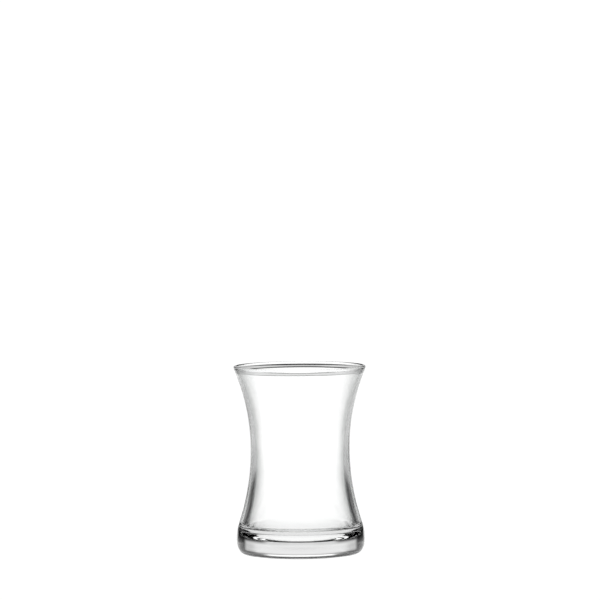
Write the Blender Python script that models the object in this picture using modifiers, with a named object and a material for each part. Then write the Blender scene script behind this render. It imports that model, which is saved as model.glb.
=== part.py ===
"""A waisted tea glass of clear glass, in metres, standing upright with its foot on Z = 0.

The glass is one turned solid. Its outline is one closed profile from the axis to the axis:
the floor inside, the inner wall, the round lip, the outer wall, the heel and the hollowed foot.
"""
import math

import bpy

# The outside of the body: an arc above the waist and a flatter arc below it
HEIGHT = 0.08305
WAIST_HEIGHT = 0.04654
WAIST_RADIUS = 0.02192
UPPER_ARC = 0.08976
LOWER_ARC = 0.10395

# The heel, where the body stops widening and turns under
HEEL_RADIUS = 0.02833
HEEL_SOFTNESS = 0.00046
HEEL_HEIGHT = 0.0069
HEEL_FULLNESS = 0.87

# The foot: a flat ring that the glass stands on, round a hollow
CONTACT_OUTER = 0.02425
CONTACT_INNER = 0.02195
HOLLOW_HEIGHT = 0.0026
HOLLOW_FULLNESS = 0.48

# The wall, measured level: thin below the lip, steadily heavier down to the belly
WALL_AT_NECK = 0.0011
NECK_HEIGHT = 0.0800
WALL_IN_BELLY = 0.00335
BELLY_HEIGHT = 0.0134
WALL_GROWTH = 1.08

# The round lip, and how far down it swells out of the wall
LIP_HALF_WIDTH = 0.00065
LIP_RISE = 0.0012
LIP_FULLNESS = 0.65
LIP_REACH = 0.0015

# The floor inside and the sloping corner between it and the wall
FLOOR_HEIGHT = 0.0066
CORNER_HEIGHT = 0.0059
CORNER_REACH = 0.0084
CORNER_AT_FLOOR = 1.16
CORNER_AT_WALL = 1.46

# How finely each stretch of the profile is divided
TURN_STEPS = 64
WALL_STEPS = 16
LIP_STEPS = 8
HEEL_STEPS = 6
CORNER_STEPS = 6
HOLLOW_STEPS = 5
MERGE_DISTANCE = 0.00001

# Finish
GLASS_COLOUR = (0.96, 0.98, 0.97, 1.0)
GLASS_ROUGHNESS = 0.0
GLASS_IOR = 1.52


def ease(start, end, value):
    """0 before start and 1 after end, with a smooth step between."""
    share = min(max((value - start) / (end - start), 0.0), 1.0)
    return share * share * (3 - 2 * share)


def bent(share, fullness):
    """A sine or cosine raised to a power: 1 is round, less is fuller, more is flatter."""
    return math.copysign(abs(share) ** fullness, share)


def outer_radius(z):
    """Outer radius at a height. The lower arc is softly limited to the heel's radius."""
    arc = UPPER_ARC if z > WAIST_HEIGHT else LOWER_ARC
    body = WAIST_RADIUS + arc - math.sqrt(arc ** 2 - (z - WAIST_HEIGHT) ** 2)
    if z > WAIST_HEIGHT:
        return body
    spare = math.exp((body - HEEL_RADIUS) / HEEL_SOFTNESS)
    return body - HEEL_SOFTNESS * math.log(1 + spare)


def lip_height():
    """Height at which the round lip starts from the wall."""
    return HEIGHT - LIP_RISE


def wall(z):
    """Wall thickness at a height, with the lip's swelling at the top."""
    drop = min(max((NECK_HEIGHT - z) / (NECK_HEIGHT - BELLY_HEIGHT), 0.0), 1.0)
    thickness = WALL_AT_NECK + (WALL_IN_BELLY - WALL_AT_NECK) * drop ** WALL_GROWTH
    swelling = 2 * LIP_HALF_WIDTH - WALL_AT_NECK
    return thickness + swelling * ease(lip_height() - LIP_REACH, lip_height(), z)


def inner_radius(z):
    """Inner radius at a height, above the corner of the floor."""
    return outer_radius(z) - wall(z)


def steps(start, end, count):
    """Evenly spaced values after start, up to and with end."""
    return [start + (end - start) * step / count for step in range(1, count + 1)]


def corner_points():
    """The sloping corner, from the edge of the floor up to the inner wall."""
    corner_top = FLOOR_HEIGHT + CORNER_HEIGHT
    top_radius = inner_radius(corner_top)
    points = [(top_radius - CORNER_REACH, FLOOR_HEIGHT)]
    for angle in steps(math.pi / 2, 0, CORNER_STEPS):
        points.append((top_radius - CORNER_REACH * (1 - bent(math.cos(angle), CORNER_AT_FLOOR)),
                       corner_top - CORNER_HEIGHT * bent(math.sin(angle), CORNER_AT_WALL)))
    return points


def lip_points():
    """The round lip, from the inner wall over the top to the outer wall."""
    centre = outer_radius(lip_height()) - LIP_HALF_WIDTH
    points = []
    for angle in steps(math.pi, 0, LIP_STEPS):
        points.append((centre + LIP_HALF_WIDTH * bent(math.cos(angle), LIP_FULLNESS),
                       lip_height() + LIP_RISE * bent(math.sin(angle), LIP_FULLNESS)))
    return points


def heel_points():
    """The heel, from the outer wall round to the ring that the glass stands on."""
    reach = outer_radius(HEEL_HEIGHT) - CONTACT_OUTER
    points = []
    for angle in steps(0, math.pi / 2, HEEL_STEPS):
        points.append((CONTACT_OUTER + reach * bent(math.cos(angle), HEEL_FULLNESS),
                       HEEL_HEIGHT * (1 - bent(math.sin(angle), HEEL_FULLNESS))))
    return points


def hollow_points():
    """The hollow under the foot, from the ring up to the axis."""
    points = [(CONTACT_INNER, 0.0)]
    for angle in steps(math.pi / 2, 0, HOLLOW_STEPS):
        points.append((CONTACT_INNER * angle / (math.pi / 2),
                       HOLLOW_HEIGHT * bent(math.cos(angle), HOLLOW_FULLNESS)))
    return points


def glass_profile():
    """The closed outline as (radius, height) points, from the floor's centre to the hollow's centre."""
    points = [(0.0, FLOOR_HEIGHT)] + corner_points()
    for z in steps(FLOOR_HEIGHT + CORNER_HEIGHT, lip_height(), WALL_STEPS):
        points.append((inner_radius(z), z))
    points += lip_points()
    for z in steps(lip_height(), HEEL_HEIGHT, WALL_STEPS):
        points.append((outer_radius(z), z))
    return points + heel_points() + hollow_points()


def glass_material():
    """Clear glass with the faintest cool tint."""
    material = bpy.data.materials.new("clear_glass")
    material.use_nodes = True
    shader = material.node_tree.nodes["Principled BSDF"]
    shader.inputs["Base Color"].default_value = GLASS_COLOUR
    shader.inputs["Metallic"].default_value = 0.0
    shader.inputs["Roughness"].default_value = GLASS_ROUGHNESS
    shader.inputs["IOR"].default_value = GLASS_IOR
    shader.inputs["Transmission Weight"].default_value = 1.0
    return material


def turned(name, profile, material, collection):
    """A profile in the XZ plane turned once about Z by a Screw modifier."""
    mesh = bpy.data.meshes.new(name)
    corners = [(radius, 0.0, height) for radius, height in profile]
    edges = [(index, index + 1) for index in range(len(corners) - 1)]
    mesh.from_pydata(corners, edges, [])
    mesh.materials.append(material)
    piece = bpy.data.objects.new(name, mesh)
    collection.objects.link(piece)
    screw = piece.modifiers.new("turn", "SCREW")
    screw.axis = "Z"
    screw.angle = math.tau
    screw.steps = TURN_STEPS
    screw.render_steps = TURN_STEPS
    screw.use_merge_vertices = True
    screw.merge_threshold = MERGE_DISTANCE
    screw.use_smooth_shade = True
    return piece


def main():
    for old in list(bpy.data.objects):
        bpy.data.objects.remove(old, do_unlink=True)
    collection = bpy.data.collections.new("tea_glass")
    bpy.context.scene.collection.children.link(collection)
    turned("glass", glass_profile(), glass_material(), collection)


main()
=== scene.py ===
# %% [markdown]
# # A waisted tea glass of clear glass
#
# The object is one empty tea glass. It narrows to a waist, flares to a rounded lip and stands
# on a thick, heavy base. Clear glass has almost no colour of its own, so what the eye reads as
# its shape is the room, bent by its walls: a pale wall behind it, dark boards beside it.
# This file makes the glass as one turned surface, then its finish, its floor, its light and
# its camera, one step at a time.

# %% Start from the solid model
import math

import bpy
import numpy as np
from mathutils import Matrix, Vector


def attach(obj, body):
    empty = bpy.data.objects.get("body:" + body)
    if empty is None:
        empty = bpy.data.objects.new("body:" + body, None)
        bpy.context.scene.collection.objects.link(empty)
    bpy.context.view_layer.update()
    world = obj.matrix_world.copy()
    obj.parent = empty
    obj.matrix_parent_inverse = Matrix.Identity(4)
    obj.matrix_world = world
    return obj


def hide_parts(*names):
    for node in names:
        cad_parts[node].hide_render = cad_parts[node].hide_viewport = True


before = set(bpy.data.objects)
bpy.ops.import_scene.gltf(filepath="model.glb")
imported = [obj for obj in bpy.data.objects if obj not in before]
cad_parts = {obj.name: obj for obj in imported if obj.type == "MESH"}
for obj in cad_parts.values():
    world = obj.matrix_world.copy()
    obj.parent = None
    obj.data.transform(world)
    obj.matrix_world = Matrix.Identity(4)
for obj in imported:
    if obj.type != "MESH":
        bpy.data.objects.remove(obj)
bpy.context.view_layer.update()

# %% [markdown]
# ## Shader maths as Python sums
#
# A finish or a light is a tree of nodes. Trees are easier to read as formulas, so one small
# class wraps a socket and turns Python's operators into Math nodes. Any other node is made by
# its `node` method: the settings first, then a value or a link for each socket.

# %% A socket that can be added and multiplied


class Wire:
    """One output socket of a node tree. Operators on it add Math nodes to the same tree."""

    def __init__(self, tree, socket=None):
        self.tree = tree
        self.socket = socket

    def put(self, target, value):
        """Links a wire into a socket, or writes a plain value there."""
        if isinstance(value, Wire):
            self.tree.links.new(value.socket, target)
        else:
            target.default_value = value

    def node(self, kind, settings=None, inputs=None, output=0):
        """Any node: its settings, then its inputs by name or number, and a wire from one output."""
        made = self.tree.nodes.new(kind)
        for name, value in (settings or {}).items():
            setattr(made, name, value)
        for name, value in (inputs or {}).items():
            self.put(made.inputs[name], value)
        return Wire(self.tree, made.outputs[output] if made.outputs else None)

    def maths(self, operation, *values):
        """One Math node on up to three values."""
        inputs = dict(enumerate(values))
        return self.node("ShaderNodeMath", {"operation": operation}, inputs)

    def __add__(self, other):
        return self.maths("ADD", self, other)

    def __sub__(self, other):
        return self.maths("SUBTRACT", self, other)

    def __rsub__(self, other):
        return self.maths("SUBTRACT", other, self)

    def __mul__(self, other):
        return self.maths("MULTIPLY", self, other)

    def __truediv__(self, other):
        return self.maths("DIVIDE", self, other)

    def __rtruediv__(self, other):
        return self.maths("DIVIDE", other, self)

    def __abs__(self):
        return self.maths("ABSOLUTE", self)

    __radd__ = __add__
    __rmul__ = __mul__

    def between(self, low, high):
        """0 below low, 1 above high and a smooth step from one to the other."""
        settings = {"interpolation_type": "SMOOTHSTEP"}
        inputs = {"Value": self, "From Min": low, "From Max": high}
        return self.node("ShaderNodeMapRange", settings, inputs)


print("helper ready")

# %% [markdown]
# ## The outline of the body
#
# Seen from the side the body is two arcs that meet at the waist: a tighter one that flares up
# to the lip and a flatter one that spreads down to the heel. It could be drawn by hand with a
# curve, but two circles with a height, a radius and a waist say the same thing with five
# numbers, and every other part of the glass can then be worked out from them.

# %% Sizes of the outside, in metres
HEIGHT = 0.08305
WAIST_HEIGHT = 0.04654
WAIST_RADIUS = 0.02192
UPPER_ARC = 0.08976
LOWER_ARC = 0.10395
HEEL_RADIUS = 0.02833
HEEL_SOFTNESS = 0.00046
HEEL_HEIGHT = 0.0069
HEEL_FULLNESS = 0.87
CONTACT_OUTER = 0.02425


def outer_radius(z):
    """Waist radius plus the arc's rise: R - sqrt(R^2 - (z - waist)^2), softly limited at the heel."""
    arc = np.where(z > WAIST_HEIGHT, UPPER_ARC, LOWER_ARC)
    body = WAIST_RADIUS + arc - np.sqrt(arc ** 2 - (z - WAIST_HEIGHT) ** 2)
    limited = body - HEEL_SOFTNESS * np.log1p(np.exp((body - HEEL_RADIUS) / HEEL_SOFTNESS))
    return np.where(z > WAIST_HEIGHT, body, limited)


print("widest at the heel", float(outer_radius(HEEL_HEIGHT)), "at the lip", float(outer_radius(HEIGHT)))

# %% [markdown]
# ## The inside, the lip and the foot
#
# The wall is thin below the lip and grows steadily heavier down to the belly, so it bends
# light there enough to draw a dark line along the inner wall. At the bottom it slopes through
# a soft corner into a thick floor. The lip is fire-polished, so its edge is round and a little
# fuller than the wall. Under the foot a hollow leaves a ring to stand on. A quarter circle
# whose sine and cosine are raised to a power makes all of these turns: the power 1 is round,
# less is fuller and more is flatter.

# %% Sizes of the inside, in metres
WALL_AT_NECK = 0.0011
NECK_HEIGHT = 0.0800
WALL_IN_BELLY = 0.00335
BELLY_HEIGHT = 0.0134
WALL_GROWTH = 1.08
LIP_HALF_WIDTH = 0.00065
LIP_RISE = 0.0012
LIP_FULLNESS = 0.65
LIP_REACH = 0.0015
FLOOR_HEIGHT = 0.0066
CORNER_HEIGHT = 0.0059
CORNER_REACH = 0.0084
CORNER_AT_FLOOR = 1.16
CORNER_AT_WALL = 1.46
CONTACT_INNER = 0.02195
HOLLOW_HEIGHT = 0.0026
HOLLOW_FULLNESS = 0.48
HOLLOW_SPACING = 0.7
TURN_POINTS = 65
RING_POINTS = 5
OUTSIDE_POINTS = 90
LIP_POINTS = 49
INSIDE_POINTS = 110
FLOOR_POINTS = 30


def ease(start, end, value):
    """0 before start, 1 after end, and 3t^2 - 2t^3 between them."""
    t = np.clip((value - start) / (end - start), 0.0, 1.0)
    return t * t * (3 - 2 * t)


def bent(share, fullness):
    """A sine or cosine raised to a power, with its sign kept."""
    return np.sign(share) * np.abs(share) ** fullness


def wall(z):
    """Level thickness: neck + (belly - neck) s^growth, s from neck to belly, plus the lip's swelling."""
    drop = np.clip((NECK_HEIGHT - z) / (NECK_HEIGHT - BELLY_HEIGHT), 0.0, 1.0)
    thickness = WALL_AT_NECK + (WALL_IN_BELLY - WALL_AT_NECK) * drop ** WALL_GROWTH
    lip_foot = HEIGHT - LIP_RISE
    return thickness + (2 * LIP_HALF_WIDTH - WALL_AT_NECK) * ease(lip_foot - LIP_REACH, lip_foot, z)


def pairs(radius, height):
    """Radii and heights side by side, one point a row."""
    return np.stack([radius, height], 1)


def glass_profile():
    """Radius and height along the section, from the middle of the hollow under the foot, up the
    outside, over the lip and down the inside to the middle of the floor. Where two stretches
    meet, the point that they share is kept once."""
    quarter = np.linspace(0, np.pi / 2, TURN_POINTS)
    outwards = np.sin(quarter) ** HOLLOW_SPACING
    hollow = pairs(CONTACT_INNER * outwards,
                   HOLLOW_HEIGHT * bent(np.cos(np.pi / 2 * outwards), HOLLOW_FULLNESS))
    ring = pairs(np.linspace(CONTACT_INNER, CONTACT_OUTER, RING_POINTS), np.zeros(RING_POINTS))[1:]
    reach = outer_radius(HEEL_HEIGHT) - CONTACT_OUTER
    heel = pairs(CONTACT_OUTER + reach * bent(np.sin(quarter), HEEL_FULLNESS),
                 HEEL_HEIGHT * (1 - bent(np.cos(quarter), HEEL_FULLNESS)))[1:]
    lip_foot = HEIGHT - LIP_RISE
    rising = np.linspace(HEEL_HEIGHT, lip_foot, OUTSIDE_POINTS)[1:]
    outside = pairs(outer_radius(rising), rising)
    over = np.linspace(0, np.pi, LIP_POINTS)[1:]
    middle = outer_radius(lip_foot) - LIP_HALF_WIDTH
    lip = pairs(middle + LIP_HALF_WIDTH * bent(np.cos(over), LIP_FULLNESS),
                lip_foot + LIP_RISE * bent(np.clip(np.sin(over), 0, 1), LIP_FULLNESS))
    corner_top = FLOOR_HEIGHT + CORNER_HEIGHT
    falling = np.linspace(lip_foot, corner_top, INSIDE_POINTS)[1:]
    inside = pairs(outer_radius(falling) - wall(falling), falling)
    top = inside[-1, 0]
    corner = pairs(top - CORNER_REACH * (1 - bent(np.cos(quarter), CORNER_AT_FLOOR)),
                   corner_top - CORNER_HEIGHT * bent(np.sin(quarter), CORNER_AT_WALL))[1:]
    floor = pairs(np.linspace(corner[-1, 0], 0, FLOOR_POINTS), np.full(FLOOR_POINTS, FLOOR_HEIGHT))[1:]
    return np.concatenate([hollow, ring, heel, outside, lip, inside, corner, floor])


profile = glass_profile()
print("points along the section", len(profile))

# %% [markdown]
# ## Turning the section
#
# A section carried once round the axis is a surface of two parameters: the place along the
# section and the angle of turn. A Screw modifier would do it too. Here the grid is worked out
# with numpy, because the inside of a moulded glass isn't perfectly even and a grid can be
# given that unevenness with one formula. The waves are about two hundredths of a millimetre
# high, too small to see by themselves, but they let the bent lines in the base waver a little,
# as they do in real glass. The two ends of the section lie on the axis, so each is closed with
# a fan of triangles round one point. The number of steps round is as large as it can be with
# the whole glass under 200,000 triangles and a step on each level axis.

# %% The turned surface
TURNS = 212
RIPPLE = 0.000012
RIPPLE_RADIUS = 0.02
WAVES = ((1.0, 3, 40, 0.6), (0.6, 5, -90, 2.1), (0.5, 11, 160, 4.0))


def uneven(turn, radius, height):
    """How far the skin strays outwards: sine waves, fading towards the axis. Each wave has a
    strength, its count round the axis, its drift with height and where it starts."""
    waves = sum(strength * np.sin(count * turn + drift * height + start)
                for strength, count, drift, start in WAVES)
    return RIPPLE * waves * np.clip(radius / RIPPLE_RADIUS, 0, 1)


def turned_surface(section, turns):
    """Every section point (r, z) at every angle a: (r cos a, r sin a, z), with the poles apart.
    Points of the inside, after the highest one, get their radius changed by the waves."""
    angle = np.linspace(0, 2 * np.pi, turns, endpoint=False)[:, None]
    radius, height = section[1:-1, 0][None], section[1:-1, 1][None]
    inside = (np.arange(radius.size) > height.argmax())[None]
    radius = radius + inside * uneven(angle, radius, height)
    rows = np.stack([radius * np.cos(angle), radius * np.sin(angle), height + 0 * angle], -1)
    poles = np.array([[0, 0, section[0, 1]], [0, 0, section[-1, 1]]])
    count = rows.shape[1]
    across = np.arange(turns)
    after = (across + 1) % turns
    along = np.arange(count - 1)
    quads = np.stack([across[:, None] * count + along, after[:, None] * count + along,
                      after[:, None] * count + along + 1, across[:, None] * count + along + 1], -1)
    under = np.stack([np.full(turns, turns * count), after * count, across * count], -1)
    floor = np.stack([np.full(turns, turns * count + 1), across * count + count - 1,
                      after * count + count - 1], -1)
    points = np.concatenate([rows.reshape(-1, 3), poles])
    return points, quads.reshape(-1, 4), np.concatenate([under, floor])


def add_mesh(name, points, quads, triangles):
    """A mesh object from whole arrays of corners and faces, with smooth shading."""
    mesh = bpy.data.meshes.new(name)
    mesh.from_pydata(points.tolist(), [], quads.tolist() + triangles.tolist())
    mesh.update()
    mesh.shade_smooth()
    piece = bpy.data.objects.new(name, mesh)
    bpy.context.scene.collection.objects.link(piece)
    return piece


points, quads, triangles = turned_surface(profile, TURNS)
glass = add_mesh("clear_tea_glass", points, quads, triangles)
print("corners", len(points), "triangles", 2 * len(quads) + len(triangles))

# %% [markdown]
# ## The finish: clear glass
#
# Clear glass lets light through and bends it, and mirrors more and more of the room where it
# is seen at a slant. One Principled shader does both once its transmission is full and its
# index of refraction is that of soda-lime glass, 1.52. Real glass isn't one flat value: it
# has a faint cool tint that drifts and a skin that isn't perfectly flat, so each of these gets
# a soft noise on Object coordinates. Grey shade is also painted into the colour with the slant,
# far more than the longer way through real clear glass would make it. That painted shade draws
# the soft grey edges of the walls. Grey boards low at the studio's corners could draw them too,
# but they would make the glass look smoky when it is seen from there.

# %% Clear glass
SLANTS = (0.28, 0.85)
SLANTED_PAINTED_SHADE = (0.33, 0.34, 0.335, 1.0)
finish = bpy.data.materials.new("clear_glass")
finish.use_nodes = True
finish.node_tree.nodes.clear()
tree = Wire(finish.node_tree)
place = tree.node("ShaderNodeTexCoord", output="Object")
cloud = tree.node("ShaderNodeTexNoise", {"noise_dimensions": "3D"},
                  {"Vector": place, "Scale": 22.0, "Detail": 3.0, "Roughness": 0.5})
tint = tree.node("ShaderNodeMix", {"data_type": "RGBA"},
                 {"Factor": cloud.between(0.35, 0.65), "A": (0.996, 0.998, 0.997, 1.0),
                  "B": (0.985, 0.990, 0.988, 1.0)}, output="Result")
# Painted shade: where the glass is seen at a slant, its colour turns grey.
slant = tree.node("ShaderNodeLayerWeight", None, {"Blend": 0.5}, output="Facing").between(*SLANTS)
colour = tree.node("ShaderNodeMix", {"data_type": "RGBA"},
                   {"Factor": slant, "A": tint, "B": SLANTED_PAINTED_SHADE}, output="Result")
ripple = tree.node("ShaderNodeTexNoise", {"noise_dimensions": "3D"},
                   {"Vector": place, "Scale": 60.0, "Detail": 1.0, "Roughness": 0.4})
skin = tree.node("ShaderNodeBump", None, {"Strength": 0.02, "Distance": 0.0004, "Height": ripple})
surface = tree.node("ShaderNodeBsdfPrincipled", None,
                    {"Base Color": colour, "Metallic": 0.0, "Roughness": 0.0, "IOR": 1.52,
                     "Transmission Weight": 1.0, "Normal": skin})
tree.node("ShaderNodeOutputMaterial", None, {"Surface": surface})
glass.data.materials.append(finish)
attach(glass, "root")
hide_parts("glass")
print("finish on", glass.name)

# %% [markdown]
# ## The floor
#
# The glass stands on a plain pale table top. It glows softly instead of being lit, which is
# how a light table works: no shadow falls on it, and the foot of the glass is lit from below.
# Shade is painted into its glow: it is a little darker under and close to the glass, where the
# glass would shade it, with a narrow ring of painted contact shadow round the foot. Seen through
# the glass, that slow change is the soft grey that deepens down the inside towards the floor.
# Seen directly the table is plain white, like the room around it.

# %% A pale round table top
FLOOR_RADIUS = 0.06
FLOOR_DROP = 0.00003
FLOOR_RINGS = 12
FLOOR_SPOKES = 96
SEEN_LEVEL = 1.05
NEAR_LEVEL = 0.98
FAR_LEVEL = 1.25
SHADE_FADES = (0.022, 0.060)
CONTACT_SHADE = 0.15
CONTACT_STARTS = (0.020, 0.023)
CONTACT_FADES = (0.025, 0.031)


def disc(radius, rings, spokes):
    """Rings of points (r cos a, r sin a) from a centre point outwards, a hair under the foot."""
    angle = np.linspace(0, 2 * np.pi, spokes, endpoint=False)
    out = np.linspace(0, radius, rings + 1)[1:, None]
    rows = np.stack([out * np.cos(angle), out * np.sin(angle), np.full((rings, spokes), -FLOOR_DROP)], -1)
    after = np.roll(np.arange(spokes), -1)
    inner = np.arange(rings - 1)[:, None] * spokes
    quads = np.stack([inner + np.arange(spokes), inner + spokes + np.arange(spokes),
                      inner + spokes + after, inner + after], -1).reshape(-1, 4)
    middle = np.stack([np.full(spokes, rings * spokes), np.arange(spokes), after], -1)
    return np.concatenate([rows.reshape(-1, 3), [[0, 0, -FLOOR_DROP]]]), quads, middle


table = add_mesh("pale_table", *disc(FLOOR_RADIUS, FLOOR_RINGS, FLOOR_SPOKES))
pale = bpy.data.materials.new("pale_table")
pale.use_nodes = True
pale.node_tree.nodes.clear()
tree = Wire(pale.node_tree)
place = tree.node("ShaderNodeTexCoord", output="Object")
away = tree.node("ShaderNodeVectorMath", {"operation": "LENGTH"}, {0: place}, output="Value")
# Painted shade: the glow is dimmer near the glass and dips in a ring round the foot.
level = NEAR_LEVEL + (FAR_LEVEL - NEAR_LEVEL) * away.between(*SHADE_FADES)
contact_shadow_ring = away.between(*CONTACT_STARTS) * (1 - away.between(*CONTACT_FADES))
level = level * (1 - CONTACT_SHADE * contact_shadow_ring)
seen = tree.node("ShaderNodeLightPath", output="Is Camera Ray")
glow = tree.node("ShaderNodeEmission", None,
                 {"Color": (1.0, 1.0, 1.0, 1.0), "Strength": level + seen * (SEEN_LEVEL - level)})
tree.node("ShaderNodeOutputMaterial", None, {"Surface": glow})
table.data.materials.append(pale)
pale.cycles.emission_sampling = "NONE"
print("table top", FLOOR_RADIUS, "m in radius")

# %% [markdown]
# ## The light
#
# Glass is photographed against light: broad pale walls shine through it, and dark boards just
# outside the picture are picked up by its bent edges as dark lines. The whole studio is far
# away compared with the glass, so it can be one World whose brightness depends only on
# direction: an even room, and then each board laid over it with soft edges, given by how far
# it reaches round and up from level. The angle round is folded, so that a board comes twice,
# in front and behind or left and right, or four times, on all sides. Each board is written as
# its level and then its edges: the angle, where it starts and ends, and how soft that is.
#
# Only what the glass bends or mirrors comes from these boards. Seen directly, the room and the
# table are plain white, as in the photograph, and a Light Path node tells the two apart. Well
# below level the studio is pale all round, so the glass is mostly clear where it is looked
# down on, though its walls turn grey from high up, where they are seen at a slant and the
# shade painted into the glass shows. Nearer level it looks light grey from its corners, and
# dark grey from its sides, where the black boards stand behind it.

# %% The studio as boards in the distance
world = bpy.data.worlds.new("studio")
bpy.context.scene.world = world
world.use_nodes = True
world.node_tree.nodes.clear()
tree = Wire(world.node_tree)
heading = tree.node("ShaderNodeTexCoord", output="Generated")
split = tree.node("ShaderNodeSeparateXYZ", None, {"Vector": heading}).socket.node
x, y, z = [Wire(world.node_tree, split.outputs[name]) for name in ("X", "Y", "Z")]
DEGREES = 180 / math.pi
twice = tree.maths("ARCTAN2", abs(x), abs(y)) * DEGREES
four_times = tree.maths("MINIMUM", twice, 90 - twice)
rise = tree.maths("ARCSINE", z) * DEGREES
ROOM_LEVEL = 0.72
NOWHERE = 400
BOARDS = {
    "pale walls": (1.18, (four_times, -NOWHERE, 23.0, 4.0), (rise, -NOWHERE, -2.5, 1.2)),
    "low glow": (1.15, (rise, -NOWHERE, -19.0, 2.0)),
    "horizon": (0.00, (twice, -NOWHERE, 63.3, 2.4), (rise, -2.1, -0.5, 0.6)),
    "black boards": (0.05, (twice, 24.0, NOWHERE, 4.0), (rise, -5.5, 3.8, 2.5)),
    "bright strip": (1.05, (twice, -NOWHERE, 36.0, 5.0), (rise, 5.8, 23.4, 1.2)),
    "dark sides": (0.00, (twice, 51.1, NOWHERE, 4.0), (rise, -0.1, 11.2, 0.8)),
    "dark canopy": (0.00, (rise, 7.2, 42.0, 2.0)),
    "light above": (1.30, (rise, 39.0, NOWHERE, 3.0)),
}


def span(value, start, end, soft):
    """1 between start and end, 0 outside, with edges that take twice the softness."""
    inside = 1.0
    if start > -NOWHERE:
        inside = value.between(start - soft, start + soft)
    if end < NOWHERE:
        inside = inside * (1 - value.between(end - soft, end + soft))
    return inside


light = ROOM_LEVEL
for name, (board_level, *edges) in BOARDS.items():
    cover = math.prod(span(*edge) for edge in edges)
    light = light + (board_level - light) * cover
seen = tree.node("ShaderNodeLightPath", output="Is Camera Ray")
shown = light + seen * (SEEN_LEVEL - light)
air = tree.node("ShaderNodeBackground", None, {"Color": (1.0, 1.0, 1.0, 1.0), "Strength": shown})
tree.node("ShaderNodeOutputWorld", None, {"Surface": air})
bpy.context.scene.view_settings.view_transform = "Standard"
print("boards in the studio", len(BOARDS))

# %% [markdown]
# ## The camera
#
# The photograph was taken from about two metres with a long lens, a little above the lip: the
# lip shows as a thin ellipse. The camera stands level with the middle of the glass from side
# to side, looks slightly down and leans by less than half a degree.

# %% The camera
DISTANCE = 1.98
LOOKING_DOWN = math.radians(3.93)
CAMERA_HEIGHT = HEIGHT + DISTANCE * math.tan(LOOKING_DOWN)
PIXEL = 0.00044
FRAME = 600
LEAN = math.radians(0.433)
FOOT_PIXEL = (300.89, 553.0)
SENSOR = 36
FAR_ENOUGH = 100
CORRECTIONS = 12
lens = bpy.data.cameras.new("long_lens")
lens.sensor_fit = "HORIZONTAL"
lens.sensor_width = SENSOR
lens.lens = SENSOR * DISTANCE / (FRAME * PIXEL)
lens.clip_end = FAR_ENOUGH
camera = bpy.data.objects.new("long_lens", lens)
bpy.context.scene.collection.objects.link(camera)
bpy.context.scene.camera = camera
stand = Vector((0, -DISTANCE, CAMERA_HEIGHT))
focal = DISTANCE / PIXEL


def seen_at(turn, point):
    """Pixel of a point for a camera at the stand with a given turn: focal length times x / depth."""
    inside = turn.transposed() @ (Vector(point) - stand)
    return FRAME / 2 + focal * inside.x / -inside.z, FRAME / 2 - focal * inside.y / -inside.z


def aimed(yaw, pitch):
    """Turned about Z, tipped about X and leaned about the line of sight."""
    return (Matrix.Rotation(yaw, 3, "Z") @ Matrix.Rotation(pitch + math.pi / 2, 3, "X")
            @ Matrix.Rotation(-LEAN, 3, "Z"))


yaw, pitch = 0.0, 0.0
for correction in range(CORRECTIONS):
    across, down = seen_at(aimed(yaw, pitch), (0, 0, 0))
    yaw += (FOOT_PIXEL[0] - across) / focal
    pitch += (FOOT_PIXEL[1] - down) / focal
camera.matrix_world = Matrix.Translation(stand) @ aimed(yaw, pitch).to_4x4()
print("foot at", seen_at(aimed(yaw, pitch), (0, 0, 0)), "lip at", seen_at(aimed(yaw, pitch), (0, 0, HEIGHT)))
